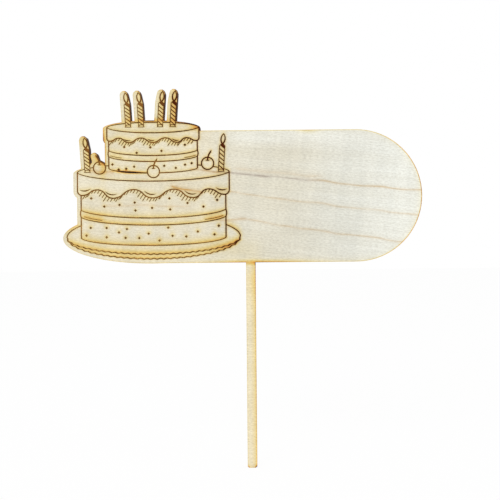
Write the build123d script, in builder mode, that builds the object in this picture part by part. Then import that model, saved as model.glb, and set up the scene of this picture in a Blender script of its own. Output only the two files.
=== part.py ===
from build123d import *
import os
from math import cos, radians, sin
from typing import NamedTuple

# A cake topper cut by laser from one sheet of three-ply plywood: a birthday cake at the left, a blank
# tag with a round end at the right and a slim stick below, all in one outline. The drawing of the cake
# is engraved into the front ply. The plies and the glue films between them are the separate pieces.
# The origin is the middle of the stick's tip, +Z is up and the engraved face looks along -Y.
# Sketches are drawn as seen from the front: right is +X and up is +Z. Sizes are millimetres.

# Plywood sheet
FACE_VENEER = 0.7
CORE_PLY = 1.4
GLUE_LINE = 0.1

# Stick and blank tag
STICK_WIDTH = 4.0
STICK_LENGTH = 86.0
STICK_TIP_CHAMFER = 0.6
TAG_HEIGHT = 55.4
TAG_REACH = 72.0  # from the stick's axis to the round end

# Laser work
CUT_BORDER = 1.1  # wood left around the drawn cake
REGISTER_RIGHT = 0.55  # the engraving sits this far off the cut outline
REGISTER_UP = 0.3
ENGRAVE_DEPTH = 0.3
LINE_WIDTH = 0.5
HATCH_WIDTH = 0.3
CRUMB_RADIUS = 0.6
CRUMB_SIDES = 4

# Cake as a whole
CAKE_OFFSET = 41.1  # from the stick's axis to the cake's axis
ROUND_SHARE = 0.115  # height over width of the ellipses in which the round tiers are drawn
RIM_START = 12.0  # degrees of the ellipse left out at each end of a front line

# Plate under the cake
PLATE_WIDTH = 72.6
PLATE_HEIGHT = 18.2
PLATE_RIM = 1.95  # drawn thickness of the rim
PLATE_SKIRT = 0.55  # more border above and below the plate than beside it
PLATE_DIP = 0.1  # the plate's cut edge dips below the tag's lower edge
RIPPLE = 0.4  # in and out of the rippled rim
RIPPLE_COUNT = 28

# Lower tier, from its base upwards
LOWER_WIDTH = 60.6
LOWER_OVERHANG = 1.5  # icing beyond the sponge
LOWER_BOTTOM_LAYER = 8.5
LOWER_CREAM = 3.0
LOWER_TOP_LAYER = 6.7
LOWER_ICING = 8.9
LOWER_DRIP = 1.8
LOWER_CORNER = 2.0
LOWER_HATCHES = 50

# Upper tier, from its base upwards
UPPER_RISE = 1.9  # base above the middle of the lower tier's top
UPPER_WIDTH = 37.1
UPPER_OVERHANG = 0.75
UPPER_BOTTOM_LAYER = 4.8
UPPER_CREAM = 2.5
UPPER_TOP_LAYER = 4.3
UPPER_ICING = 5.3
UPPER_DRIP = 0.95
UPPER_CORNER = 1.2
UPPER_HATCHES = 34
CREAM_BULGE = 0.3
HATCH_LENGTH = 1.7
HATCH_ANGLE = 235.0
CREAM_SHEEN_SIZE = 26.0  # degrees of the ellipse
CREAM_SHEEN_STARTS = (20.0, 134.0)

# Candles
CANDLE_WIDTH = 2.2
CANDLE_BORDER = 0.95  # wood left around a candle
CANDLE_HEIGHT = 9.6
CANDLE_SHOULDER = 0.6
CANDLE_TIP_SIDES = 10  # few faces on a small round end that every ply repeats
CANDLE_RISE = 0.7  # foot above the middle of the tier's top
CANDLE_LEAN = 3.5
FOOT_WIDTH = 2.9
FOOT_HEIGHT = 1.2
FOOT_ANGLE = 60.0
STRIPE_COUNT = 6
STRIPE_RISE = 1.5
FLAME_HEIGHT = 4.6
FLAME_WIDTH = 1.7
FLAME_LEAN = 8.0

# Cherries
CHERRY_RADIUS = 2.55
DIMPLE_WIDTH = 1.9
DIMPLE_HEIGHT = 0.4
DIMPLE_LEVEL = 1.45
STEM_TOP = 5.2
STEM_REACH = 1.6
STEM_ROOT_WIDTH = 0.6
STEM_WIDTH = 0.9  # at its end

# Places across the icing, from its left side to its right side
CREST_SHARES = (0.13, 0.37, 0.635, 0.865)
TROUGH_SHARES = (0.235, 0.495, 0.76)
CORNER_DROP_SHARE = 0.3
SHEEN_SHARES = ((-0.215, 1.72), (-0.06, 0.86), (0.095, 1.0))  # of the wave's length and of the drip
CORNER_SHEEN_SHARES = ((0.05, 1.3), (0.19, 1.05), (0.34, 1.6))
HATCH_LENGTH_SHARES = (1.0, 0.8, 0.95, 0.7)
HATCH_SLOPE_SHARE = 1.0  # longer where the wave is steep
CREAM_SHEEN_SHARE = 0.3
WAVE_SHARE = 0.26  # of the icing's width from crest to crest

# Places on the tiers, from the axis to the side: candles with their heights, cherries
UPPER_CANDLE_SHARES = ((-0.535, 1.0), (-0.252, 1.01), (0.157, 1.05), (0.429, 1.07))
LOWER_CANDLE_SHARES = ((-0.866, 1.0), (0.893, 1.14))
CHERRY_SHARES = ((-0.707, 0.8), (0.003, 0.14), (0.717, 1.41))  # across, and up in cherry radii

# Crumbs in the layers of sponge: across the layer from the axis, and up the layer
LOWER_TOP_CRUMB_SHARES = (
    (-0.86, 1.0), (-0.68, 0.6), (-0.47, 0.77), (-0.26, 0.95), (-0.25, 0.46), (-0.02, 0.63),
    (0.22, 1.2), (0.23, 0.51), (0.47, 0.86), (0.69, 0.54), (0.88, 0.82),
)
LOWER_BOTTOM_CRUMB_SHARES = (
    (-0.87, 0.68), (-0.65, 0.78), (-0.93, 0.25), (-0.65, 0.32), (-0.48, 0.6), (-0.37, 0.79),
    (-0.39, 0.35), (-0.2, 0.36), (-0.07, 0.58), (0.08, 0.24), (0.2, 0.86), (0.26, 0.45),
    (0.45, 0.38), (0.61, 0.58), (0.84, 0.33), (0.9, 0.71),
)
UPPER_TOP_CRUMB_SHARES = ((-0.65, 0.73), (-0.37, 0.24), (-0.06, 0.8), (0.19, 0.44), (0.72, 0.87))
UPPER_BOTTOM_CRUMB_SHARES = (
    (-0.92, 0.5), (-0.78, 0.16), (-0.61, 0.3), (-0.43, 0.52),
    (0.25, 0.6), (0.51, 0.36), (0.72, 0.56), (0.87, 0.6),
)


class Tier(NamedTuple):
    """Levels and widths of one tier, in the plane of the sheet."""

    half: float  # sponge, from the axis to its side
    icing: float  # icing, from the axis to its side
    base: float
    cream_low: float
    cream_top: float
    wave: float  # middle level of the icing's wavy edge
    top: float
    drip: float
    corner: float


def make_tier(base, width, overhang, layers, drip, corner):
    """Stack a tier from its base: bottom layer, cream, top layer, icing."""
    bottom_layer, cream, top_layer, icing = layers
    cream_low = base + bottom_layer
    cream_top = cream_low + cream
    wave = cream_top + top_layer
    half = width / 2
    return Tier(half, half + overhang, base, cream_low, cream_top, wave, wave + icing, drip, corner)


plate_half = PLATE_WIDTH / 2
plate_depth = PLATE_HEIGHT / 2
plate_border = CUT_BORDER + PLATE_SKIRT
plate_level = STICK_LENGTH - PLATE_DIP + plate_border + plate_depth
lower = make_tier(
    plate_level,
    LOWER_WIDTH,
    LOWER_OVERHANG,
    (LOWER_BOTTOM_LAYER, LOWER_CREAM, LOWER_TOP_LAYER, LOWER_ICING),
    LOWER_DRIP,
    LOWER_CORNER,
)
upper = make_tier(
    lower.top + UPPER_RISE,
    UPPER_WIDTH,
    UPPER_OVERHANG,
    (UPPER_BOTTOM_LAYER, UPPER_CREAM, UPPER_TOP_LAYER, UPPER_ICING),
    UPPER_DRIP,
    UPPER_CORNER,
)

# Where the candles and cherries stand, and to which side they lean: -1 is left, 1 is right
candles = []
for tier, shares in ((upper, UPPER_CANDLE_SHARES), (lower, LOWER_CANDLE_SHARES)):
    for across_share, height_share in shares:
        lean = -1 if across_share < 0 else 1
        foot = Vector(across_share * tier.icing, tier.top + CANDLE_RISE)
        candles.append((foot, lean, height_share * CANDLE_HEIGHT))
cherries = []
for across_share, up_share in CHERRY_SHARES:
    lean = -1 if across_share < 0 else 1
    cherries.append((Vector(across_share * lower.icing, lower.top + up_share * CHERRY_RADIUS), lean))


def corner_level(tier):
    """Level at which the icing's side turns into the wavy edge."""
    return tier.wave - CORNER_DROP_SHARE * tier.drip + tier.corner


def tier_block(tier, border):
    """Cut shape of a tier's sponge and icing, with a border of wood around them."""
    side = tier.icing + border
    bend = tier.corner + border
    low = corner_level(tier)
    with BuildSketch() as block:
        with BuildLine():
            left = Line((-side, low), (-side, tier.top))
            EllipticalCenterArc((0, tier.top), side, tier.icing * ROUND_SHARE + border, 180, arc_size=-180)
            right = Line((side, tier.top), (side, low))
            RadiusArc(right @ 1, (side - bend, low - bend), bend)
            Line((side - bend, low - bend), (bend - side, low - bend))
            RadiusArc((bend - side, low - bend), left @ 0, bend)
        make_face()
        with Locations((0, tier.base)):
            Rectangle(2 * (tier.half + border), low - tier.base, align=(Align.CENTER, Align.MIN))
    return block.sketch


def candle_points(lean, height):
    """Top of the candle's body and tip of its flame, from the foot."""
    body_top = Vector(0, height).rotate(Axis.Z, -CANDLE_LEAN * lean)
    flame = Vector(0, FLAME_HEIGHT).rotate(Axis.Z, -FLAME_LEAN * lean)
    return body_top, body_top + flame


def candle_block(lean, height, border):
    """Cut shape of a candle: the hull of its foot, shoulders and flame, with a border of wood."""
    body_top, tip = candle_points(lean, height)
    with BuildSketch() as block:
        Rectangle(
            CANDLE_WIDTH + 2 * border,
            height,
            rotation=-CANDLE_LEAN * lean,
            align=(Align.CENTER, Align.MIN),
        )
        with Locations(tip - (tip - body_top).normalized() * FLAME_WIDTH / 2):
            RegularPolygon(FLAME_WIDTH / 2 + border, CANDLE_TIP_SIDES)
        make_hull()
    return block.sketch


def lens(start, end, width):
    """A pointed oval between two points: two arcs, widest halfway."""
    across = (end - start).rotate(Axis.Z, 90).normalized() * width / 2
    halfway = (start + end) / 2
    with BuildSketch() as oval:
        with BuildLine():
            ThreePointArc(start, halfway + across, end)
            ThreePointArc(start, halfway - across, end)
        make_face()
    return oval.sketch


def stem_block(lean, border):
    """Cut shape of a cherry's stem: the hull of its root and its end, with a border of wood."""
    with BuildSketch() as block:
        Rectangle(STEM_WIDTH + 2 * border, DIMPLE_LEVEL)
        with Locations((STEM_REACH * lean, STEM_TOP)):
            Circle(STEM_WIDTH / 2 + border)
        make_hull()
    return block.sketch


# Cut outline of the cake, around its axis
with BuildSketch() as cake_cut:
    with Locations((0, plate_level)):
        Ellipse(plate_half + CUT_BORDER, plate_depth + plate_border)
    add(tier_block(lower, CUT_BORDER))
    add(tier_block(upper, CUT_BORDER))
    for foot, lean, height in candles:
        with Locations(foot):
            add(candle_block(lean, height, CANDLE_BORDER))
    for middle, lean in cherries:
        with Locations(middle):
            Circle(CHERRY_RADIUS + CUT_BORDER)
            add(stem_block(lean, CUT_BORDER))

# Cut outline of the whole sheet
with BuildSketch() as outline:
    with Locations((-CAKE_OFFSET, 0)):
        add(cake_cut.sketch)
    tag_round = TAG_HEIGHT / 2
    tag_top = STICK_LENGTH + TAG_HEIGHT
    with BuildLine():
        Line((-CAKE_OFFSET, STICK_LENGTH), (TAG_REACH - tag_round, STICK_LENGTH))
        CenterArc((TAG_REACH - tag_round, STICK_LENGTH + tag_round), tag_round, -90, 180)
        Line((TAG_REACH - tag_round, tag_top), (-CAKE_OFFSET, tag_top))
        Line((-CAKE_OFFSET, tag_top), (-CAKE_OFFSET, STICK_LENGTH))
    make_face()
    Rectangle(STICK_WIDTH, STICK_LENGTH + tag_round, align=(Align.CENTER, Align.MIN))
    for side in (-STICK_WIDTH / 2, STICK_WIDTH / 2):
        tip = outline.vertices().sort_by_distance((side, 0))[0]
        chamfer(tip, STICK_TIP_CHAMFER)


def ellipse_stroke(middle, reach, depth, start, size, width=LINE_WIDTH):
    """Stroke along an elliptical arc: the space between two ellipses."""
    half = width / 2
    with BuildSketch() as stroke:
        with BuildLine():
            outer = EllipticalCenterArc(middle, reach + half, depth + half, start, arc_size=size)
            inner = EllipticalCenterArc(middle, reach - half, depth - half, start, arc_size=size)
            Line(outer @ 0, inner @ 0)
            Line(outer @ 1, inner @ 1)
        make_face()
    return stroke.sketch


def front_line(half, level, start=RIM_START, size=180 - 2 * RIM_START, width=LINE_WIDTH):
    """Stroke across the front of a tier, which ends on its two sides."""
    reach = half / cos(radians(RIM_START))
    depth = half * ROUND_SHARE / (1 - sin(radians(RIM_START)))
    middle = (0, level + depth * sin(radians(RIM_START)))
    return ellipse_stroke(middle, reach, depth, 180 + start, size, width)


def rippled_edge(reach, depth):
    """The plate's near edge, with ripples: a line that swings in and out along the front of an ellipse."""
    with BuildLine():
        edge = EllipticalCenterArc((0, plate_level), reach, depth, 180, arc_size=180)
    points = []
    for i in range(2 * RIPPLE_COUNT + 1):
        place_share = i / (2 * RIPPLE_COUNT)
        outwards = (edge % place_share).rotate(Axis.Z, -90)
        swing = RIPPLE / 2 if i % 2 else -RIPPLE / 2
        points.append(edge @ place_share + outwards * swing)
    return points


def plate_lines():
    """The plate's far edge, as far as the cake leaves it open, and the two rippled lines of its near rim."""
    half = LINE_WIDTH / 2
    with BuildSketch() as lines:
        add(ellipse_stroke((0, plate_level), plate_half, plate_depth, 0, 180))
        add(tier_block(lower, 0), mode=Mode.SUBTRACT)
        for depth in (plate_depth, plate_depth - PLATE_RIM):
            outer = rippled_edge(plate_half + half, depth + half)
            inner = rippled_edge(plate_half - half, depth - half)
            with BuildLine():
                Polyline(*outer, *reversed(inner), close=True)
            make_face()
    return lines.sketch


def wave_points(tier):
    """Crests and troughs of the icing's wavy edge, with its two corners, from left to right."""
    left = -tier.icing
    span = 2 * tier.icing
    low = corner_level(tier) - tier.corner
    crests = [(left + share * span, tier.wave + tier.drip) for share in CREST_SHARES]
    troughs = [(left + share * span, tier.wave - tier.drip) for share in TROUGH_SHARES]
    corners = [(left + tier.corner, low), (-left - tier.corner, low)]
    return [Vector(*point) for point in sorted(crests + troughs + corners)]


def wave_line(tier):
    """The wave from corner to corner: each slope is two arcs that meet halfway."""
    points = wave_points(tier)
    with BuildLine() as wave:
        for start, end in zip(points, points[1:]):
            halfway = (start + end) / 2
            slope = TangentArc(start, halfway, tangent=(1, 0))
            TangentArc(halfway, end, tangent=slope % 1)
    return wave.wire()


def icing_face(tier, grow):
    """The icing as a face: far edge of the top, sides and wavy lower edge, grown by a distance."""
    side = tier.icing
    low = corner_level(tier)
    with BuildLine() as edge:
        Line((-side, tier.top), (-side, low))
        RadiusArc((-side, low), (tier.corner - side, low - tier.corner), -tier.corner)
        add(wave_line(tier))
        RadiusArc((side - tier.corner, low - tier.corner), (side, low), -tier.corner)
        Line((side, low), (side, tier.top))
    outer = Side.RIGHT if grow > 0 else Side.LEFT
    with BuildSketch() as face:
        with BuildLine():
            offset(edge.wire(), amount=abs(grow), side=outer, closed=False)
            depth = side * ROUND_SHARE + grow
            EllipticalCenterArc((0, tier.top), side + grow, depth, 0, arc_size=180)
        make_face()
    return face.sketch


def sheen(tier, root, shares, side):
    """A tapered stroke on the icing: two arcs through points given as shares of the wave and the drip."""
    swell = Vector(0, LINE_WIDTH / 2)
    wave = 2 * tier.icing * WAVE_SHARE
    start, middle, end = [
        root + Vector(side * across_share * wave, up_share * tier.drip) for across_share, up_share in shares
    ]
    with BuildSketch() as stroke:
        with BuildLine():
            ThreePointArc(start, middle + swell, end)
            ThreePointArc(start, middle - swell, end)
        make_face()
    return stroke.sketch


def icing_lines(tier):
    """Outline of the icing, then the near rim of its top and a sheen on each drip."""
    with BuildSketch() as lines:
        add(icing_face(tier, LINE_WIDTH / 2))
        add(icing_face(tier, -LINE_WIDTH / 2), mode=Mode.SUBTRACT)
        add(front_line(tier.icing, tier.top))
        for share in TROUGH_SHARES:
            trough = Vector((2 * share - 1) * tier.icing, tier.wave - tier.drip)
            add(sheen(tier, trough, SHEEN_SHARES, 1))
    return lines.sketch


def corner_sheens(tier):
    """A sheen on each rounded corner of the icing."""
    with BuildSketch() as strokes:
        for side in (-1, 1):
            corner = Vector(side * tier.icing, corner_level(tier) - tier.corner)
            add(sheen(tier, corner, CORNER_SHEEN_SHARES, -side))
    return strokes.sketch


def sponge_face(tier, grow):
    """The bottom layer of sponge as a face with a round base, grown by a distance."""
    side = tier.half + grow
    with BuildSketch() as face:
        with BuildLine():
            Line((-side, tier.cream_low), (-side, tier.base))
            EllipticalCenterArc((0, tier.base), side, tier.half * ROUND_SHARE + grow, 180, arc_size=180)
            Line((side, tier.base), (side, tier.cream_low))
            Line((side, tier.cream_low), (-side, tier.cream_low))
        make_face()
    return face.sketch


def cream_side(tier, side):
    """Bulging end of the cream and the side of the top layer above it, as one stroke."""
    low, high = tier.cream_low, tier.cream_top
    end = corner_level(tier) - tier.corner
    with BuildSketch() as stroke:
        with BuildLine():
            inner = side * (tier.half - LINE_WIDTH / 2)
            outer = side * (tier.half + LINE_WIDTH / 2)
            for x in (inner, outer):
                ThreePointArc((x, low), (x + side * CREAM_BULGE, (low + high) / 2), (x, high))
                Line((x, high), (x, end))
            for level in (low, end):
                Line((inner, level), (outer, level))
        make_face()
    return stroke.sketch


def layer_lines(tier):
    """Sponge sides, base line and the cream between the layers, with a sheen at each end of it."""
    sheen_level = tier.cream_low + CREAM_SHEEN_SHARE * (tier.cream_top - tier.cream_low)
    with BuildSketch() as lines:
        add(sponge_face(tier, LINE_WIDTH / 2))
        add(sponge_face(tier, -LINE_WIDTH / 2), mode=Mode.SUBTRACT)
        add([cream_side(tier, -1), cream_side(tier, 1)])
        add([front_line(tier.half, level) for level in (tier.cream_low, tier.cream_top)])
        for start in CREAM_SHEEN_STARTS:
            add(front_line(tier.half, sheen_level, start, CREAM_SHEEN_SIZE, HATCH_WIDTH))
    return lines.sketch


def hatching(tier, count):
    """Short slanting strokes that hang from the icing's wavy edge, as its shadow on the sponge."""
    wave = wave_line(tier)
    with BuildSketch() as strokes:
        for i in range(count):
            place_share = (i + 1) / (count + 1)
            steep = abs((wave % place_share).Y)
            length_share = HATCH_LENGTH_SHARES[i % len(HATCH_LENGTH_SHARES)]
            length = HATCH_LENGTH * length_share * (1 + HATCH_SLOPE_SHARE * steep)
            with Locations(wave @ place_share):
                Rectangle(length, HATCH_WIDTH, rotation=HATCH_ANGLE, align=(Align.MIN, Align.CENTER))
    return strokes.sketch


def crumbs(tier, low, high, shares):
    """Dots in a layer of sponge, whose lower and upper edges sag like the layer itself."""
    places = []
    for across_share, up_share in shares:
        sag = tier.half * ROUND_SHARE * (1 - across_share**2) ** 0.5
        places.append((across_share * tier.half, low + up_share * (high - low) - sag))
    with BuildSketch() as dots:
        with Locations(*places):
            RegularPolygon(CRUMB_RADIUS, CRUMB_SIDES)
    return dots.sketch


def candle_lines(lean, height):
    """A candle: its hollow foot, its twisted body with pale gaps between the stripes, and its flame."""
    body_top, tip = candle_points(lean, height)
    inner = (CANDLE_WIDTH - HATCH_WIDTH) / 2
    pitch = (height - LINE_WIDTH) / STRIPE_COUNT
    gap = pitch - LINE_WIDTH
    with BuildSketch() as body:
        Rectangle(CANDLE_WIDTH + HATCH_WIDTH, height, align=(Align.CENTER, Align.MIN))
        chamfer(body.vertices().group_by(Axis.Y)[-1], CANDLE_SHOULDER)
        for i in range(STRIPE_COUNT):
            left = i * pitch + LINE_WIDTH
            right = left - STRIPE_RISE
            corners = ((-inner, left), (inner, right), (inner, right + gap), (-inner, left + gap))
            Polygon(*corners, align=None, mode=Mode.SUBTRACT)
    wall = (tip - body_top).normalized() * LINE_WIDTH
    hollow = FOOT_HEIGHT - 2 * HATCH_WIDTH
    with BuildSketch() as candle:
        Trapezoid(FOOT_WIDTH, FOOT_HEIGHT, FOOT_ANGLE)
        add(body.sketch, rotation=-CANDLE_LEAN * lean)
        Trapezoid(FOOT_WIDTH - 2 * LINE_WIDTH, hollow, FOOT_ANGLE, mode=Mode.SUBTRACT)
        add(lens(body_top - wall, tip, FLAME_WIDTH + LINE_WIDTH))
        add(lens(body_top + wall, tip - wall, FLAME_WIDTH - LINE_WIDTH), mode=Mode.SUBTRACT)
    return candle.sketch


def cherry_lines(lean):
    """A cherry: its round outline, the dimple and the stem, which thickens towards its end."""
    dimple = Vector(DIMPLE_WIDTH / 2, 0)
    root = Vector(0, DIMPLE_LEVEL)
    start = Vector(0, DIMPLE_LEVEL - DIMPLE_HEIGHT / 2)
    end = Vector(STEM_REACH * lean, STEM_TOP)
    start_half = Vector(STEM_ROOT_WIDTH / 2 * lean, 0)
    end_half = Vector(0, STEM_WIDTH / 2)
    with BuildSketch() as cherry:
        Circle(CHERRY_RADIUS + LINE_WIDTH / 2)
        Circle(CHERRY_RADIUS - LINE_WIDTH / 2, mode=Mode.SUBTRACT)
        with BuildLine():
            Line(root - dimple, root + dimple)
            ThreePointArc(root - dimple, root - (0, DIMPLE_HEIGHT), root + dimple)
        make_face()
        with BuildLine():
            near = TangentArc(start + start_half, end - end_half, tangent=(0, 1))
            far = TangentArc(start - start_half, end + end_half, tangent=(0, 1))
            Line(near @ 0, far @ 0)
            Line(near @ 1, far @ 1)
        make_face()
    return cherry.sketch


# Engraved drawing, around the cake's axis: what stands in front covers what lies behind it
with BuildSketch() as far_lines:
    add(icing_lines(lower))
    add(tier_block(upper, 0), mode=Mode.SUBTRACT)

with BuildSketch() as cover:
    for foot, lean, height in candles:
        with Locations(foot):
            add(candle_block(lean, height, HATCH_WIDTH / 2))
    for middle, lean in cherries:
        with Locations(middle):
            Circle(CHERRY_RADIUS)

with BuildSketch() as near_lines:
    for foot, lean, height in candles:
        with Locations(foot):
            add(candle_lines(lean, height))
    for middle, lean in cherries:
        with Locations(middle):
            add(cherry_lines(lean))

with BuildSketch() as drawing:
    add([far_lines.sketch, icing_lines(upper), layer_lines(lower), layer_lines(upper), plate_lines()])
    add([hatching(lower, LOWER_HATCHES), hatching(upper, UPPER_HATCHES), corner_sheens(lower)])
    add(cover.sketch, mode=Mode.SUBTRACT)
    dots = [
        crumbs(lower, lower.cream_top, lower.wave, LOWER_TOP_CRUMB_SHARES),
        crumbs(lower, lower.base, lower.cream_low, LOWER_BOTTOM_CRUMB_SHARES),
        crumbs(upper, upper.cream_top, upper.wave, UPPER_TOP_CRUMB_SHARES),
        crumbs(upper, upper.base, upper.cream_low, UPPER_BOTTOM_CRUMB_SHARES),
    ]
    add([near_lines.sketch, *dots])

# Plies and glue films, from the back to the front
core_face = CORE_PLY / 2
veneer_face = core_face + GLUE_LINE
front_face = veneer_face + FACE_VENEER

with BuildPart() as back_veneer:
    with BuildSketch(Plane.XZ.offset(-front_face)):
        add(outline.sketch)
    extrude(amount=FACE_VENEER)

with BuildPart() as back_glue_line:
    with BuildSketch(Plane.XZ.offset(-veneer_face)):
        add(outline.sketch)
    extrude(amount=GLUE_LINE)

with BuildPart() as core_ply:
    with BuildSketch(Plane.XZ.offset(-core_face)):
        add(outline.sketch)
    extrude(amount=CORE_PLY)

with BuildPart() as front_glue_line:
    with BuildSketch(Plane.XZ.offset(core_face)):
        add(outline.sketch)
    extrude(amount=GLUE_LINE)

with BuildPart() as front_veneer:
    with BuildSketch(Plane.XZ.offset(veneer_face)):
        add(outline.sketch)
    extrude(amount=FACE_VENEER)
    with BuildSketch(Plane.XZ.offset(front_face)):
        with Locations((REGISTER_RIGHT - CAKE_OFFSET, REGISTER_UP)):
            add(drawing.sketch)
    extrude(amount=-ENGRAVE_DEPTH, mode=Mode.SUBTRACT)

os.makedirs("parts", exist_ok=True)
for name, piece in (
    ("back_veneer", back_veneer),
    ("back_glue_line", back_glue_line),
    ("core_ply", core_ply),
    ("front_glue_line", front_glue_line),
    ("front_veneer", front_veneer),
):
    piece.part.label = name
    export_step(piece.part, f"parts/{name}.step")
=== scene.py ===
# %% [markdown]
# # A laser-cut cake topper, dressed for the camera
# The topper is one blank cut from a sheet of three-ply plywood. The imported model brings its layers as
# plain meshes at their real size: a front and a back veneer, a core, and the glue films between them.
# Each layer keeps its shape here. What these cells add is what the eye looks for on such a thing: wood
# grain, the brown of the laser's lines, the yellow scorch beside them and the burnt edge of the cut.

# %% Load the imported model
import math

import bmesh
import bpy
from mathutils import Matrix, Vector, kdtree


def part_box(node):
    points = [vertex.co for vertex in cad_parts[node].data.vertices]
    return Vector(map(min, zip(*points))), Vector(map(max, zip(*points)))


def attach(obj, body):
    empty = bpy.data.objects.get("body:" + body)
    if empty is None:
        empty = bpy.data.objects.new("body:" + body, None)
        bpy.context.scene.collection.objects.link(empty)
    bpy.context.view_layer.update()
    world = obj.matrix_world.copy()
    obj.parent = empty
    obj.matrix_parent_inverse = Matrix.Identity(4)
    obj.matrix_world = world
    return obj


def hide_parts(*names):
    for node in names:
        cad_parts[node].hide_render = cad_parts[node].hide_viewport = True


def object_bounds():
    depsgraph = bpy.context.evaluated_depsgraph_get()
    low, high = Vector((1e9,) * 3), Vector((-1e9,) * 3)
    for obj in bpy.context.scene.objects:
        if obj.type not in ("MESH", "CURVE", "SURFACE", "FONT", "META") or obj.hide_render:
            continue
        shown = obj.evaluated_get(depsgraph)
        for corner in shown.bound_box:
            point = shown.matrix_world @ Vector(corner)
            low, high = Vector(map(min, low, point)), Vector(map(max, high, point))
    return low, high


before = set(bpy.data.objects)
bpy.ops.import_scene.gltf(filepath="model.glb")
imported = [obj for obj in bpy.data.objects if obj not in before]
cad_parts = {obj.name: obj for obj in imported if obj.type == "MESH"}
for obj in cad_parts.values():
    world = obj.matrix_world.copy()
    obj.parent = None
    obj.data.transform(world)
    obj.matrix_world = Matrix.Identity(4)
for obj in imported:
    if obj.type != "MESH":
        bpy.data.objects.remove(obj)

CAD_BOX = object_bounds()
MM = 0.001
for corner in CAD_BOX:
    print("corner of the CAD box, mm:", [round(value / MM, 2) for value in corner])

# %% [markdown]
# ## Copy a layer and sort its faces
# A packed layer is a soup of loose triangles, so its copy is merged first. Then every face is one of
# three kinds: a flat show face, the wall or floor of an engraved line, or the wall of the cut that goes
# right through. The kind can be read from the depth that a face spans, so nothing has to be picked by
# hand. It is kept as the face's material slot, because each kind gets a finish of its own.

# %% Sort the faces of a layer
FLAT, ENGRAVED, CUT = range(3)
MERGE = 0.001 * MM


def face_kind(face, low, high):
    """Flat, engraved or cut, by the layer's surfaces that a face touches."""
    depths = [vert.co.y for vert in face.verts]
    touches_front = min(depths) < low.y + MERGE
    touches_back = max(depths) > high.y - MERGE
    if touches_front and touches_back:
        return CUT
    if touches_front or touches_back:
        return FLAT if max(depths) - min(depths) < MERGE else ENGRAVED
    return ENGRAVED


def layer_copy(node_name):
    """A merged copy of one layer, with the kind of each face in its material slot."""
    shape = bmesh.new()
    shape.from_mesh(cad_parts[node_name].data)
    bmesh.ops.remove_doubles(shape, verts=shape.verts, dist=MERGE)
    shape.normal_update()
    low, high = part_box(node_name)
    for face in shape.faces:
        face.material_index = face_kind(face, low, high)
    return shape


front = layer_copy("front_veneer")
for kind, word in ((FLAT, "flat"), (ENGRAVED, "engraved"), (CUT, "cut")):
    print(word, "faces:", sum(1 for face in front.faces if face.material_index == kind))

# %% [markdown]
# ## Points along the lines and the cut
# The materials will need to know how near a place is to an engraved line or to the cut. So points are
# set along both, each with the way its wall looks and the bit of edge that it stands for. A k-d tree
# then finds the points around any place without walking over all of them.

# %% Set points along the lines and the cut
SAMPLE = 0.4 * MM


def border_points(shape, kind):
    """Points along the edges where a flat face meets walls of one kind: place, wall's way out, length."""
    points = []
    for edge in shape.edges:
        walls = [face for face in edge.link_faces if face.material_index == kind]
        if len(walls) != 1 or not any(face.material_index == FLAT for face in edge.link_faces):
            continue
        start, end = (vert.co for vert in edge.verts)
        count = math.ceil(edge.calc_length() / SAMPLE)
        for i in range(count):
            place = start.lerp(end, (i + 0.5) / count)
            points.append((place, walls[0].normal.copy(), edge.calc_length() / count))
    return points


def flattened(spot):
    """A place on the sheet with its depth left out."""
    return Vector((spot.x, 0, spot.z))


def tree_of(points):
    """A search tree over the points' places on the sheet."""
    tree = kdtree.KDTree(len(points))
    for i, (place, _, _) in enumerate(points):
        tree.insert(flattened(place), i)
    tree.balance()
    return tree


line_points = border_points(front, ENGRAVED)
cut_points = border_points(front, CUT)
line_tree = tree_of(line_points)
cut_tree = tree_of(cut_points)
print("points along lines:", len(line_points), "and along the cut:", len(cut_points))

# %% [markdown]
# ## A fine grid on the show faces
# Scorch fades with the distance from a line, and a mesh can carry that distance at its vertices. The
# packed triangles are far too long for this, so the show face is sliced into a grid. Slicing at every
# grid line would walk over all faces each time. Halving the face, then its halves and so on gives the
# same grid much sooner, because each cut only meets the faces of its own slice.

# %% Slice faces into a grid
GRID = 0.6 * MM


def slice_faces(shape, faces, axis, low, high, pitch):
    """Halve a group of faces along an axis until every slice is narrower than the pitch."""
    if high - low <= pitch or not faces:
        return faces
    middle = (low + high) / 2
    spot, way = Vector(), Vector()
    spot[axis] = middle
    way[axis] = 1
    corners = {vert for face in faces for vert in face.verts}
    sides = {edge for face in faces for edge in face.edges}
    cut = bmesh.ops.bisect_plane(
        shape, geom=[*corners, *sides, *faces], plane_co=spot, plane_no=way, dist=MERGE
    )
    halves = [part for part in cut["geom"] if isinstance(part, bmesh.types.BMFace)]
    lower = [face for face in halves if face.calc_center_median()[axis] < middle]
    upper = [face for face in halves if face.calc_center_median()[axis] >= middle]
    return slice_faces(shape, lower, axis, low, middle, pitch) + slice_faces(
        shape, upper, axis, middle, high, pitch
    )


def grid_on(shape, way_out, pitch):
    """Slice the flat faces that look a given way along Y into a grid."""
    low, high = CAD_BOX
    faces = [f for f in shape.faces if f.material_index == FLAT and f.normal.y * way_out > 0]
    faces = slice_faces(shape, faces, 0, low.x, high.x, pitch)
    faces = slice_faces(shape, faces, 2, low.z, high.z, pitch)
    print("faces of the grid:", len(faces))


grid_on(front, -1, GRID)
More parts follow.
